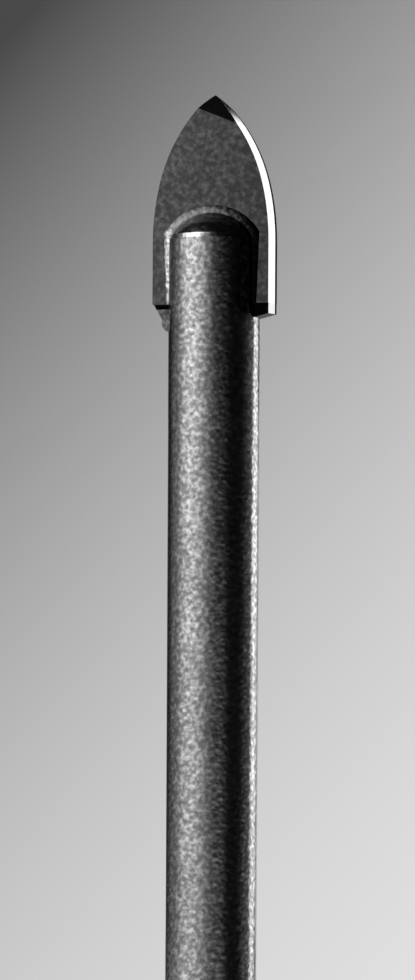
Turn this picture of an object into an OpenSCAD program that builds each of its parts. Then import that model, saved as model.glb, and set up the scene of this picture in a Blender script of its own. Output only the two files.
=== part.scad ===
// Glass and tile drill bit: a spear-point carbide blade brazed into the slotted ball nose of a round shank.
// Millimetres. The shank stands on its flat end at the origin, with the point up +Z and the blade across X.

/* [Overall] */
// Length from the flat end of the shank to the point
overall_length = 80; // [60:1:120]

/* [Shank] */
// Diameter of the round shank below the nose
shank_d = 6; // [5:0.25:7]
// How much thinner the shank is at the grip
grip_thin = 0.08; // [0.02:0.01:0.4]
// Length of the plain grip at the lower end, below the slight taper
grip_len = 24; // [15:1:30]
// Chamfer round the flat end of the shank
end_chamfer = 0.4; // [0.1:0.05:1]
// Height of the ball nose above its broken edge
nose_rise = 1.6; // [1.3:0.05:2.2]
// Height of the broken edge between the shank and the nose
nose_break = 0.3; // [0.1:0.05:0.6]
// Slope of that broken edge
break_slope = 14; // [5:1:20]
// Distance from the point down to the top of the ball nose
nose_setback = 7.65; // [6.5:0.05:9]

/* [Carbide blade] */
// Width across the two cutting edges
blade_w = 8; // [7.5:0.1:11]
// Thickness of the blade
blade_t = 1.6; // [1.2:0.1:2.2]
// Length from the point to the square lower end of the blade
blade_len = 13.75; // [12.5:0.25:18]
// Radius of each lip where it leaves the straight side
lip_side_r = 16.2; // [14:0.1:24]
// Tighter radius of each lip towards the point
lip_point_r = 11.3; // [9:0.1:13]
// Angle swept by the side radius before the tighter one takes over
lip_blend = 13.7; // [8:0.1:20]
// Width of the land left behind each cutting edge
lip_land = 0.45; // [0.2:0.05:1]
// Relief angle ground behind that land
relief_angle = 6; // [2:0.5:12]

/* [Point thinning] */
// Distance from the point to the edge of each thinning facet
thin_len = 1.2; // [0.6:0.05:2]
// Slope of that edge across the blade face
thin_slope = 22; // [0:1:30]
// Thickness left at the point between the two facets
point_web = 0.12; // [0.06:0.02:0.4]

/* [Braze] */
// Braze film on each side of the blade in its slot
braze_gap = 0.08; // [0.04:0.01:0.2]
// Width of the braze bead on the blade face round the nose
bead_w = 0.47; // [0.35:0.01:0.6]
// Radius of the round section of the bead
bead_r = 1.1; // [1:0.05:1.4]
// Depth of the middle of that round below the blade face
bead_sink = 0.88; // [0.6:0.02:0.92]
// How much narrower the bead is where it leaves the nose for the shank
bead_step = 0.04; // [0.02:0.01:0.1]
// Width of the bead where it runs out at the foot of the blade
bead_foot_w = 0.18; // [0.1:0.01:0.3]
// Radius of the braze drop under the left shoulder
drop_r = 0.62; // [0.4:0.02:0.8]
// How far that drop stands out from the shank
drop_proud = 0.37; // [0.2:0.01:0.5]
// Depth of the middle of that drop below the blade
drop_depth = 1.2; // [0.9:0.05:1.8]
// Distance out from the middle of that drop to where its slanted edge ends inside it
drop_lean = 0.45; // [0.3:0.05:0.5]
// Radius of the neck between that drop and the blade
neck_r = 0.2; // [0.1:0.02:0.3]
// Depth of the ground braze web under the right shoulder
web_depth = 0.66; // [0.4:0.02:1]
// Slope of the underside of that web down to the shank
web_slope = 14; // [0:1:30]
// Set-back of the web and the drop from the blade faces
web_inset = 0.05; // [0.02:0.01:0.2]

/* [Hidden] */
$fn = 96;

// Shank and ball nose
shank_r = shank_d / 2;
grip_r = (shank_d - grip_thin) / 2;
break_r = shank_r - nose_break * tan(break_slope);
nose_r = (break_r * break_r + nose_rise * nose_rise) / (2 * nose_rise);
nose_top = overall_length - nose_setback;
nose_edge = nose_top - nose_rise;
nose_c = nose_top - nose_r;
break_z = nose_edge - nose_break;

// Blade and its slot
half_w = blade_w / 2;
half_t = blade_t / 2;
blade_z = overall_length - blade_len;
slot_t = blade_t + 2 * braze_gap;
slot_z = blade_z - braze_gap;
spread = 2 * blade_w;
taper_top = blade_z - shank_d;

// Lip arcs: both are tangent on one radius, and the two lips meet on the axis at the overall length
land_y = half_t - lip_land;
side_c = half_w - lip_side_r;
blend_dz = lip_side_r * sin(lip_blend);
point_c = side_c + (lip_side_r - lip_point_r) * cos(lip_blend);
point_dz = (lip_side_r - lip_point_r) * sin(lip_blend);
meet_x = half_w * (1 - cos(relief_angle)) + land_y * sin(relief_angle);
lip_len = point_dz + sqrt(pow(lip_point_r, 2) - pow(meet_x - point_c, 2));
lip_z = overall_length - lip_len;

// Point thinning
thin_tilt = atan((half_t - point_web / 2) / thin_len);

// Bead: a flat round fillet from the blade face up to a round body
function seat(body_r) = sqrt(body_r * body_r - half_t * half_t);
bead_half = sqrt(bead_r * bead_r - bead_sink * bead_sink);
nose_out = seat(nose_r) + bead_w;
bead_turn = acos(seat(shank_r) / seat(nose_r));
turn_x = (nose_out - bead_step) * cos(bead_turn);
turn_z = nose_c + (nose_out - bead_step) * sin(bead_turn);
turn_w = turn_x - seat(shank_r);
run_tilt = atan((turn_w - bead_foot_w) / (turn_z - blade_z));
run_len = (turn_z - blade_z) / cos(run_tilt);

// Drop and web under the shoulders, both rooted inside the shank
root_x = shank_r / 2;
drop_x = shank_r + drop_proud - drop_r;
drop_z = blade_z - drop_depth;
web_fall = (half_w - root_x) * tan(web_slope);

// Shank with its ball nose, before the slot is cut
module shank_form() {
  cylinder(h = end_chamfer, r1 = grip_r - end_chamfer, r2 = grip_r);
  translate([0, 0, end_chamfer]) cylinder(h = grip_len - end_chamfer, r = grip_r);
  translate([0, 0, grip_len]) cylinder(h = taper_top - grip_len, r1 = grip_r, r2 = shank_r);
  translate([0, 0, taper_top]) cylinder(h = break_z - taper_top, r = shank_r);
  translate([0, 0, break_z]) cylinder(h = nose_break, r1 = shank_r, r2 = break_r);
  intersection() {
    translate([0, 0, nose_c]) sphere(r = nose_r);
    translate([0, 0, nose_edge]) cylinder(h = 2 * nose_rise, r = break_r);
  }
}

// A slab across the axis, used for the slot and for the blade
module slab(thickness, z_low) {
  translate([-spread, -thickness / 2, z_low]) cube([2 * spread, thickness, spread + blade_len]);
}

// Side view of one ground flank: straight side, long arc, then the tighter arc to the point
module flank_outline() {
  translate([-spread, blade_z - blade_len]) square([spread + half_w, lip_z - blade_z + blade_len]);
  intersection() {
    translate([side_c, lip_z]) circle(r = lip_side_r);
    translate([-spread, lip_z - blend_dz]) square([spread + half_w, 2 * blend_dz]);
  }
  intersection() {
    translate([point_c, lip_z + point_dz]) circle(r = lip_point_r);
    translate([-spread, lip_z]) square([spread + half_w, blend_dz + lip_len]);
  }
}

// The same outline run through the blade, square to its faces
module flank_run() {
  rotate([90, 0, 0]) linear_extrude(height = spread, center = true) flank_outline();
}

// Right flank: a land behind the cutting edge, then the relief swung in from the land's edge
module flank() {
  intersection() {
    flank_run();
    translate([half_w, land_y, 0]) rotate([0, 0, -relief_angle]) translate([-half_w, 0, 0]) flank_run();
  }
}

// Both flanks, the left one turned half round so that both edges cut the same way
module flanks() {
  intersection() {
    flank();
    rotate([0, 0, 180]) flank();
  }
}

// Cutter for the thinning facet on the front face
module thinning() {
  translate([0, -half_t, overall_length]) rotate([0, thin_slope, 0]) translate([-blade_w, 0, -thin_len])
    rotate([-thin_tilt, 0, 0]) translate([0, -blade_t, 0]) cube([2 * blade_w, blade_t, blade_len]);
}

// Section of the bead on a round body: distance from the body's axis across, height off the blade face up
module bead_section(body_r, width) {
  translate([seat(body_r) + width - bead_half, 0]) intersection() {
    translate([0, -bead_sink]) circle(r = bead_r);
    translate([-bead_r, 0]) square([2 * bead_r, bead_r]);
  }
}

// Bead down the right side of the shank, cut off where the nose bead ends and leaning in to the blade's foot
module bead_run() {
  difference() {
    translate([turn_x, -half_t, turn_z]) rotate([0, run_tilt, 0]) mirror([0, 1, 0])
      translate([-turn_x, 0, -run_len]) linear_extrude(height = run_len + bead_w)
        bead_section(shank_r, turn_w);
    translate([0, -spread / 2, nose_c]) rotate([0, -bead_turn, 0]) cube(spread);
  }
}

// Bead on the front face: over the nose and down both sides
module bead() {
  translate([0, -half_t, nose_c]) rotate([90, 0, 0]) rotate([0, 0, bead_turn])
    rotate_extrude(angle = 180 - 2 * bead_turn) bead_section(nose_r, bead_w);
  bead_run();
  mirror([1, 0, 0]) bead_run();
}

// Drop of braze under the left shoulder, necked in below both blade faces
module drop() {
  difference() {
    rotate([90, 0, 0]) linear_extrude(height = blade_t - 2 * web_inset, center = true) {
      translate([-drop_x, drop_z]) circle(r = drop_r);
      polygon([
        [-root_x, blade_z],
        [-half_w + web_inset, blade_z],
        [-drop_x - drop_lean, drop_z],
        [-root_x, drop_z]
      ]);
    }
    for (side = [-1, 1])
      translate([0, side * half_t, blade_z - neck_r / 2]) rotate([0, -90, 0])
        cylinder(h = spread, r = neck_r);
  }
}

// Web of braze under the right shoulder, ground flush with the flank
module web() {
  intersection() {
    flanks();
    rotate([90, 0, 0]) linear_extrude(height = blade_t - 2 * web_inset, center = true)
      polygon([
        [root_x, blade_z],
        [half_w, blade_z],
        [half_w, blade_z - web_depth],
        [root_x, blade_z - web_depth - web_fall]
      ]);
  }
}

// Shank form with the slot that takes the blade
module slotted_form() {
  difference() {
    shank_form();
    slab(slot_t, slot_z);
  }
}

// Round shank, slotted through the nose
module shank() {
  color("dimgray") slotted_form();
}

// Carbide blade with its ground flanks and thinned point
module carbide_tip() {
  color("slategray") difference() {
    intersection() {
      flanks();
      slab(blade_t, blade_z);
    }
    thinning();
    rotate([0, 0, 180]) thinning();
  }
}

// Braze: the film in the slot, the bead on each face, and what ran under the shoulders
module braze() {
  color("silver") {
    difference() {
      intersection() {
        shank_form();
        slab(slot_t, slot_z);
      }
      slab(blade_t, blade_z);
    }
    difference() {
      union() {
        bead();
        rotate([0, 0, 180]) bead();
        drop();
        web();
      }
      slotted_form();
    }
  }
}

shank();
carbide_tip();
braze();
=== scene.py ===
import math

import bpy
from mathutils import Matrix, Vector

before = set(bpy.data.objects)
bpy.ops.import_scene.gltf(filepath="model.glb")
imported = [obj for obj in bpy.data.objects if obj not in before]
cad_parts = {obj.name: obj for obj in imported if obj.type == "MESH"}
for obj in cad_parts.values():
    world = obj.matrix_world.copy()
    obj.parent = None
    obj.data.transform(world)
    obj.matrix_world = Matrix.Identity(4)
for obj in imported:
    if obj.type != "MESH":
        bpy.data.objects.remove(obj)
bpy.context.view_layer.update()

MM = 0.001

# Camera: the photograph's view, looking slightly up at the bit from the right of its front
CAM_AZIMUTH = math.radians(16.5)
CAM_ELEVATION = math.radians(-4.0)
CAM_DISTANCE = 600 * MM
CAM_LENS = 338.0
CAM_SENSOR = 36.0
CAM_NEAR = 0.01
CAM_FAR = 50.0
CAM_ROLL = math.radians(0.33)
AIM_HEIGHT = 54.12 * MM
AIM_ASIDE = -0.39 * MM

# Places on the part in millimetres: just under the blade, the lower end of the drop's neck,
# just inside the blade faces, and how far out the web's ground side starts
BLADE_FOOT = 66.24
NECK_LOW = 65.93
FACE_INSIDE = 0.78
WEB_SIDE = 3.7

# Least part of the normal along Y on a blade face, and along X on the web's ground side
FACE_NORMAL = 0.97
SIDE_NORMAL = 0.95

# Fall of the blade faces away from the axis, in millimetres at one millimetre out
CROWN = 0.0075

# Range that holds most values of a noise texture
NOISE_LOW = 0.3
NOISE_HIGH = 0.7

# Blasted grain: share of the depth left to the fine grain, swing of the roughness, and tones that speckle
FINE_SHARE = 1 / 12
ROUGH_SWING = 0.06
BLAST_TONES = (0.35, 0.65)
BLAST_CURVE = 1.5
FACE_TONES = (0.34, 0.66)
FACE_CURVE = 1.7

# Grinding lines across the ground faces, in lines to the millimetre along X, Y and Z
GRINDING = (1.5, 1.5, 26.0)

# Painted shade on the shank beside the blade: where it starts and where it is full, in millimetres, and how
# far its edge strays
SHANK_SHADE_ASIDE = (1.8, 2.6)
SHANK_SHADE_HEIGHT = (65.2, 65.7)
SHANK_SHADE_STRAY = 0.3

# Bead, in the same way: painted shade along its foot by the distance from the middle of the blade, and
# painted shade, dim and then black, by the distance to the side. The dim shade reaches further out as it
# climbs over the nose.
BEAD_FOOT_SHADE = (0.85, 0.8)
BEAD_FOOT_SHADE_STRAY = 0.035
SIDE_SHADE_STRAY = 0.9
NOSE_SHADE_ASIDE = (2.7, 1.3)
NOSE_SHADE_MOST = 0.88
NOSE_SHADE_HEIGHT = (70.0, 71.2)
NOSE_SHADE_REACH = 1.6
SIDE_BLACK_ASIDE = (-0.8, -2.2)
UNDER_SHADE_MOST = 0.86

# Floor and sweep, in metres. The sweep's glow grows by so much to the metre, up and to the right,
# and eases off towards its most.
FLOOR_HALF = 6.0
FLOOR_LEVEL = 0.6
FLOOR_GLOW = 0.2
SWEEP_LEFT = 0.4
SWEEP_RIGHT = 0.35
SWEEP_BACK = 0.75
SWEEP_RADIUS = 0.25
SWEEP_HEIGHT = 0.34
SWEEP_LIFT = 0.5 * MM
SWEEP_STEPS = 16
SWEEP_LEVEL = 0.15
SWEEP_GLOW = 0.8
GLOW_UP = -3.3
GLOW_RIGHT = 3.7
GLOW_MOST = 0.75
GLOW_EASE = 0.6
PAPER_ROUGH = 0.8
PAPER_CLOUD = 1.04

# Flag: a card round the axis between two angles from the camera, thinning out over FLAG_FADE at both ends
FLAG_RADIUS = 0.06
FLAG_FOOT = 1 * MM
FLAG_HEIGHT = 0.2
FLAG_FROM = math.radians(19)
FLAG_TO = math.radians(92)
FLAG_FADE = 0.3
FLAG_WEIGHT = 0.94
FLAG_LEVEL = 0.01
FLAG_STEPS = 24

# Soft lights, in degrees, with aside measured to the right from the camera
KEY = {"aside": -64, "up": 28, "wide": 27, "tall": 20, "power": 2.5, "level": 3.6}
FILL = {"aside": -26, "up": 2, "wide": 18, "tall": 16, "power": 2.0, "level": 0.35}
RIM = {"aside": 138, "up": 14, "wide": 10, "tall": 24, "power": 8.0, "level": 2.2, "lean": 1.1}
EDGE = {"aside": 105, "up": 8, "wide": 12, "tall": 15, "power": 2.0, "level": 0.08}
SIDE = {"aside": -116, "up": 4, "wide": 14, "tall": 14, "power": 2.0, "level": 0.18}
ROOM_LEVEL = 0.003


def toward(azimuth, elevation):
    """Unit vector from the object to a place at that azimuth and elevation, in radians."""
    flat = math.cos(elevation)
    return Vector((math.sin(azimuth) * flat, -math.cos(azimuth) * flat, math.sin(elevation)))


def camera_right():
    return Vector((math.cos(CAM_AZIMUTH), math.sin(CAM_AZIMUTH), 0))


def grey(level):
    return (level, level, level, 1.0)


def make_camera():
    data = bpy.data.cameras.new("camera")
    data.lens = CAM_LENS
    data.sensor_fit = "AUTO"
    data.sensor_width = CAM_SENSOR
    data.clip_start = CAM_NEAR
    data.clip_end = CAM_FAR
    cam = bpy.data.objects.new("camera", data)
    bpy.context.scene.collection.objects.link(cam)
    back = toward(CAM_AZIMUTH, CAM_ELEVATION)
    aim = Vector((0, 0, AIM_HEIGHT)) + camera_right() * AIM_ASIDE
    turn = (-back).to_track_quat("-Z", "Y").to_matrix() @ Matrix.Rotation(CAM_ROLL, 3, "Z")
    cam.matrix_world = Matrix.Translation(aim + back * CAM_DISTANCE) @ turn.to_4x4()
    bpy.context.scene.camera = cam


class Graph:
    """A node tree with short calls for the nodes that materials and the world share."""

    def __init__(self, tree):
        self.tree = tree

    def node(self, kind):
        return self.tree.nodes.new("ShaderNode" + kind)

    def link(self, a, b):
        self.tree.links.new(a, b)

    def put(self, value, socket):
        if isinstance(value, (int, float, tuple)):
            socket.default_value = value
        else:
            self.link(value, socket)

    def math(self, kind, a, b=0.0, c=0.5):
        n = self.node("Math")
        n.operation = kind
        for value, socket in zip((a, b, c), n.inputs):
            self.put(value, socket)
        return n.outputs[0]

    def split(self, vector):
        n = self.node("SeparateXYZ")
        self.link(vector, n.inputs["Vector"])
        return n.outputs["X"], n.outputs["Y"], n.outputs["Z"]


class Shader(Graph):
    """A material on a Principled BSDF, with its textures in the object's millimetres."""

    def __init__(self, name):
        self.material = bpy.data.materials.new(name)
        self.material.use_nodes = True
        super().__init__(self.material.node_tree)
        self.bsdf = self.tree.nodes["Principled BSDF"]
        self.mm = self.stretch(self.node("TexCoord").outputs["Object"], (1 / MM,) * 3)

    def set(self, key, value):
        self.put(value, self.bsdf.inputs[key])

    def stretch(self, vector, scale):
        n = self.node("Mapping")
        n.inputs["Scale"].default_value = scale
        self.link(vector, n.inputs["Vector"])
        return n.outputs["Vector"]

    def noise(self, scale, detail=2.0, rough=0.5, vector=None):
        n = self.node("TexNoise")
        self.link(vector or self.mm, n.inputs["Vector"])
        n.inputs["Scale"].default_value = scale
        n.inputs["Detail"].default_value = detail
        n.inputs["Roughness"].default_value = rough
        return n.outputs["Fac"]

    def dents(self, scale, smooth):
        n = self.node("TexVoronoi")
        n.feature = "SMOOTH_F1"
        self.link(self.mm, n.inputs["Vector"])
        n.inputs["Scale"].default_value = scale
        n.inputs["Smoothness"].default_value = smooth
        return n.outputs["Distance"]

    def blend(self, a, share_a, b, share_b):
        return self.math("ADD", self.math("MULTIPLY", a, share_a), self.math("MULTIPLY", b, share_b))

    def span(self, value, a, b, c, d):
        n = self.node("MapRange")
        self.put(value, n.inputs["Value"])
        for key, v in (("From Min", a), ("From Max", b), ("To Min", c), ("To Max", d)):
            n.inputs[key].default_value = v
        return n.outputs["Result"]

    def vary(self, noise, low, high):
        return self.span(noise, NOISE_LOW, NOISE_HIGH, low, high)

    def rise(self, value, ends, most=1.0):
        """From nothing at the first of two ends up to the most at the second."""
        return self.span(value, ends[0], ends[1], 0.0, most)

    def mix(self, factor, a, b, kind="RGBA"):
        n = self.node("Mix")
        n.data_type = kind
        self.put(factor, n.inputs["Factor"])
        self.put(a, n.inputs["A"])
        self.put(b, n.inputs["B"])
        return n.outputs["Result"]

    def bump(self, height, depth, normal=None):
        n = self.node("Bump")
        n.inputs["Strength"].default_value = 1.0
        n.inputs["Distance"].default_value = depth * MM
        self.link(height, n.inputs["Height"])
        if normal is not None:
            self.link(normal, n.inputs["Normal"])
        return n.outputs["Normal"]

    def dot(self, direction):
        n = self.node("VectorMath")
        n.operation = "DOT_PRODUCT"
        self.link(self.mm, n.inputs[0])
        n.inputs[1].default_value = direction
        return n.outputs["Value"]

    def normal(self):
        return self.split(self.node("NewGeometry").outputs["True Normal"])


def blast(s, dark, light, rough, depth, where=1.0):
    """Grit-blasted metal: soft dents a third of a millimetre across with a finer grain in them.

    Gives the colour, roughness and normal. The dents are only made where the mask is 1.
    """
    swell = s.noise(2.2, detail=1.0, rough=0.4)
    both = s.blend(swell, 0.5, s.dents(3.0, smooth=0.7), 0.5)
    fine = s.noise(12.0, rough=0.6)
    tone = s.blend(s.noise(3.1, detail=1.5), 0.8, s.noise(0.35), 0.2)
    speckle = s.math("POWER", s.rise(tone, BLAST_TONES), BLAST_CURVE)
    colour = s.mix(speckle, grey(dark), grey(light))
    s.set("Metallic", 1.0)
    coarse = s.bump(s.math("MULTIPLY", both, where), depth)
    normal = s.bump(s.math("MULTIPLY", fine, where), depth * FINE_SHARE, normal=coarse)
    return colour, s.vary(fine, rough - ROUGH_SWING, rough + ROUGH_SWING), normal


def blasted_steel():
    """Blasted steel, with near-black painted shade on the front beside the blade."""
    s = Shader("blasted_steel")
    x, y, z = s.split(s.mm)
    colour, rough, normal = blast(s, dark=0.22, light=0.61, rough=0.2, depth=0.018)
    # Painted shade: near-black colour on the shank's front, right of its middle and above the blade's foot
    stray = s.vary(s.noise(2.6, rough=0.6), -SHANK_SHADE_STRAY, SHANK_SHADE_STRAY)
    near = s.rise(s.math("ADD", x, stray), SHANK_SHADE_ASIDE)
    high = s.rise(s.math("ADD", z, stray), SHANK_SHADE_HEIGHT)
    front = s.math("LESS_THAN", y, 0.0)
    painted_shade = s.math("MULTIPLY", s.math("MULTIPLY", near, high), front)
    s.set("Base Color", s.mix(painted_shade, colour, grey(0.018)))
    s.set("Roughness", rough)
    s.set("Normal", normal)
    return s.material


def carbide():
    """Fine-blasted faces, slightly crowned, and smooth ground flanks and facets with faint grinding lines."""
    s = Shader("carbide")
    x = s.split(s.mm)[0]
    normal_y = s.normal()[1]
    face = s.math("GREATER_THAN", s.math("ABSOLUTE", normal_y), FACE_NORMAL)
    grain = s.noise(3.3, detail=1.0)
    both = s.blend(s.noise(2.2, rough=0.6), 0.3, grain, 0.7)
    speckle = s.math("POWER", s.rise(both, FACE_TONES), FACE_CURVE)
    blasted = s.mix(speckle, grey(0.05), grey(0.125))
    lines = s.noise(1.0, rough=0.6, vector=s.stretch(s.mm, GRINDING))
    ground = s.mix(lines, grey(0.44), grey(0.5))
    s.set("Base Color", s.mix(face, ground, blasted))
    s.set("Metallic", 1.0)
    s.set("Roughness", s.mix(face, s.vary(lines, 0.07, 0.11), s.vary(grain, 0.34, 0.42), "FLOAT"))
    crown = s.math("MULTIPLY", s.math("MULTIPLY", x, x), -CROWN)
    crowned = s.bump(s.math("MULTIPLY", crown, face), 1.0)
    s.set("Normal", s.bump(s.math("MULTIPLY", both, face), 0.012, normal=crowned))
    return s.material


def braze_metal():
    """Blasted along with the rest. Each bead has painted light and shade: painted shade along its foot,
    bright on its lit side, dimmed over the nose, then black on its shaded side.

    Below the blade the braze gets painted shade, near black in the neck and under the right shoulder, and one
    side of the web is ground.
    """
    s = Shader("braze_metal")
    x, y, z = s.split(s.mm)
    normal_x = s.normal()[0]
    side = s.math("GREATER_THAN", normal_x, SIDE_NORMAL)
    ground = s.math("MULTIPLY", side, s.math("GREATER_THAN", x, WEB_SIDE))
    blasted = s.math("SUBTRACT", 1.0, ground)
    colour, rough, normal = blast(s, dark=0.42, light=1.0, rough=0.34, depth=0.06, where=blasted)
    under = s.math("LESS_THAN", z, BLADE_FOOT)
    out = s.math("ABSOLUTE", y)
    # Painted shade along the bead's foot, where it meets the blade face
    ragged = s.math("ADD", out, s.vary(s.noise(3.4, rough=0.6), -BEAD_FOOT_SHADE_STRAY, BEAD_FOOT_SHADE_STRAY))
    foot_shade = s.math("MULTIPLY", s.rise(ragged, BEAD_FOOT_SHADE), s.math("SUBTRACT", 1.0, under))
    colour = s.mix(foot_shade, colour, grey(0.08))
    # Painted light and shade across each bead: the lit side keeps the bright colour, dim painted shade
    # spreads over the nose, and near-black painted shade covers the shaded side
    across = s.math("MULTIPLY", x, s.math("SIGN", y))
    shade_across = s.math("ADD", across, s.vary(s.noise(2.6, rough=0.6), -SIDE_SHADE_STRAY, SIDE_SHADE_STRAY))
    nose_shade = s.math("SUBTRACT", shade_across, s.rise(z, NOSE_SHADE_HEIGHT, NOSE_SHADE_REACH))
    colour = s.mix(s.rise(nose_shade, NOSE_SHADE_ASIDE, NOSE_SHADE_MOST), colour, grey(0.05))
    colour = s.mix(s.rise(shade_across, SIDE_BLACK_ASIDE), colour, grey(0.012))
    # Painted shade: all the braze below the blade is darkened
    colour = s.mix(s.math("MULTIPLY", under, UNDER_SHADE_MOST), colour, grey(0.03))
    # Painted shade, near black, in the neck and under the right shoulder, inside the blade faces
    neck = s.math("GREATER_THAN", z, NECK_LOW)
    right = s.math("GREATER_THAN", x, 0.0)
    inside = s.math("LESS_THAN", out, FACE_INSIDE)
    painted_shade = s.math("MULTIPLY", s.math("MULTIPLY", s.math("MAXIMUM", neck, right), under), inside)
    s.set("Base Color", s.mix(ground, s.mix(painted_shade, colour, grey(0.002)), grey(0.4)))
    s.set("Roughness", s.mix(ground, rough, 0.1, "FLOAT"))
    s.set("Normal", normal)
    return s.material


def paper(name, level, glow=0.0, slope=None):
    """Studio paper or cloth. The glow lifts it in view and in reflections, and lights nothing.

    The slope is a direction in which that glow grows, by so much to the metre.
    """
    s = Shader(name)
    cloud = s.vary(s.noise(0.004), 0.0, 1.0)
    s.set("Base Color", s.mix(cloud, grey(level), grey(level * PAPER_CLOUD)))
    s.set("Roughness", PAPER_ROUGH)
    if glow:
        path = s.node("LightPath")
        seen = s.math("MAXIMUM", path.outputs["Is Camera Ray"], path.outputs["Is Glossy Ray"])
        seen = s.math("MAXIMUM", seen, path.outputs["Is Transmission Ray"])
        s.set("Emission Color", grey(1.0))
        if slope is not None:
            glow = s.math("ADD", s.dot(slope * MM), glow)
            glow = s.math("SMOOTH_MIN", glow, GLOW_MOST, GLOW_EASE)
            glow = s.math("MAXIMUM", glow, 0.0)
        s.set("Emission Strength", s.math("MULTIPLY", seen, glow))
    return s


def dress(node, material):
    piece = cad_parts[node]
    piece.data.materials.clear()
    piece.data.materials.append(material)


def new_mesh(name, verts, faces, shader):
    mesh = bpy.data.meshes.new(name)
    mesh.from_pydata(verts, [], faces)
    mesh.materials.append(shader.material)
    obj = bpy.data.objects.new(name, mesh)
    bpy.context.scene.collection.objects.link(obj)
    return obj


def make_floor():
    h = FLOOR_HALF
    corners = [(-h, -h, 0), (h, -h, 0), (h, h, 0), (-h, h, 0)]
    return new_mesh("floor", corners, [(0, 1, 2, 3)], paper("floor_paper", FLOOR_LEVEL, FLOOR_GLOW))


def make_sweep():
    """A pale sweep that rises from the floor behind the object, and is clear when seen from its own back."""
    profile = []
    for i in range(SWEEP_STEPS + 1):
        a = math.pi / 2 * i / SWEEP_STEPS
        far = SWEEP_BACK + SWEEP_RADIUS * math.sin(a)
        profile.append((far, SWEEP_RADIUS * (1 - math.cos(a)) + SWEEP_LIFT))
    profile.append((SWEEP_BACK + SWEEP_RADIUS, SWEEP_HEIGHT))
    back = -toward(CAM_AZIMUTH, 0)
    right = camera_right()
    verts = []
    for far, high in profile:
        for side in (-SWEEP_LEFT, SWEEP_RIGHT):
            verts.append(back * far + right * side + Vector((0, 0, high)))
    faces = [(2 * i, 2 * i + 1, 2 * i + 3, 2 * i + 2) for i in range(len(profile) - 1)]
    sheet = paper("sweep_paper", SWEEP_LEVEL, SWEEP_GLOW, Vector((0, 0, GLOW_UP)) + right * GLOW_RIGHT)
    sheet.set("Alpha", sheet.math("SUBTRACT", 1.0, sheet.node("NewGeometry").outputs["Backfacing"]))
    sweep = new_mesh("sweep", verts, faces, sheet)
    sweep.data.polygons.foreach_set("use_smooth", [True] * len(faces))
    return sweep


def make_flag():
    """A black studio card to the right of the bit that only shows in reflections."""
    verts = []
    for i in range(FLAG_STEPS + 1):
        a = CAM_AZIMUTH + FLAG_FROM + (FLAG_TO - FLAG_FROM) * i / FLAG_STEPS
        for high in (FLAG_FOOT, FLAG_HEIGHT):
            verts.append(toward(a, 0) * FLAG_RADIUS + Vector((0, 0, high)))
    faces = [(2 * i, 2 * i + 2, 2 * i + 3, 2 * i + 1) for i in range(FLAG_STEPS)]
    cloth = paper("flag_cloth", FLAG_LEVEL)
    cloth.set("Specular IOR Level", 0.0)
    middle = CAM_AZIMUTH + (FLAG_FROM + FLAG_TO) / 2
    end = math.sin((FLAG_TO - FLAG_FROM) / 2)
    aside = cloth.dot(toward(middle + math.pi / 2, 0) * (MM / FLAG_RADIUS))
    cloth.set("Alpha", cloth.rise(cloth.math("ABSOLUTE", aside), (end, end - FLAG_FADE), FLAG_WEIGHT))
    card = new_mesh("flag", verts, faces, cloth)
    card.visible_camera = False
    card.visible_diffuse = False
    card.visible_shadow = False
    card.visible_transmission = False
    return card


class Sky(Graph):
    """The studio as a world: a dim room with soft lights, each a patch that fades out from its middle."""

    def __init__(self):
        world = bpy.data.worlds.new("studio")
        world.use_nodes = True
        bpy.context.scene.world = world
        super().__init__(world.node_tree)
        self.background = self.tree.nodes["Background"]
        self.background.inputs["Color"].default_value = grey(1.0)
        self.x, self.y, self.z = self.split(self.node("TexCoord").outputs["Generated"])

    def along(self, direction):
        x = self.math("MULTIPLY", self.x, direction.x)
        return self.math("ADD", x, self.math("MULTIPLY", self.y, direction.y))

    def light(self, aside, up, wide, tall, power, level, lean=0.0):
        """A patch of that half-width and half-height; a higher power gives it a harder edge.

        It leans over to the right by that many degrees for each degree up.
        """
        azimuth = CAM_AZIMUTH + math.radians(aside)
        above = self.math("SUBTRACT", self.math("ARCSINE", self.z), math.radians(up))
        ahead = self.along(toward(azimuth, 0))
        beside = self.math("ARCTAN2", self.along(toward(azimuth + math.pi / 2, 0)), ahead)
        beside = self.math("SUBTRACT", beside, self.math("MULTIPLY", above, lean))
        fade = 0.0
        for offset, half in ((beside, wide), (above, tall)):
            share = self.math("ABSOLUTE", self.math("DIVIDE", offset, math.radians(half)))
            fade = self.math("ADD", self.math("POWER", share, power), fade)
        falloff = self.math("EXPONENT", self.math("MULTIPLY", fade, -math.log(2)))
        return self.math("MULTIPLY", falloff, level)

    def fill(self, level, lights):
        total = level
        for one in lights:
            total = self.math("ADD", self.light(**one), total)
        self.link(total, self.background.inputs["Strength"])


make_camera()
make_floor()
make_sweep()
make_flag()
Sky().fill(ROOM_LEVEL, (KEY, FILL, RIM, EDGE, SIDE))
dress("shank", blasted_steel())
dress("carbide_tip", carbide())
dress("braze", braze_metal())
bpy.context.scene.view_settings.view_transform = "Standard"
